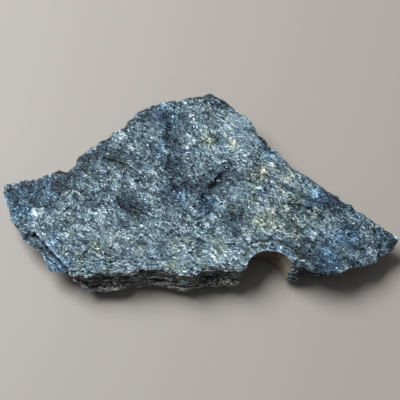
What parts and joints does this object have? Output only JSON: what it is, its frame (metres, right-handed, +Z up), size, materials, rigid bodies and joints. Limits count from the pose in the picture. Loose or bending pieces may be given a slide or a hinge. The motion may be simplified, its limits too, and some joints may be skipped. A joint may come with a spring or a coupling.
{
  "type": "nuummite slab",
  "caption": "Broken slab of nuummite, a dark fibrous stone, layered at its edges, with part of a drilled hole in its front edge.",
  "frame": {"origin": "middle of the box round the stone, on the surface it rests on", "axes": "+X along the stone's length towards its sharper end, +Y to its back edge, +Z up out of its broad top"},
  "size_m": [0.125, 0.0712, 0.0121],
  "materials": {
    "stone": "rough broken face of dark slate-blue fibrous crystals with pale glints and a few golden flecks; smooth drab wall in the drilled notch"
  },
  "bodies": {
    "root": {"stone": "stone"}
  },
  "joints": []
}
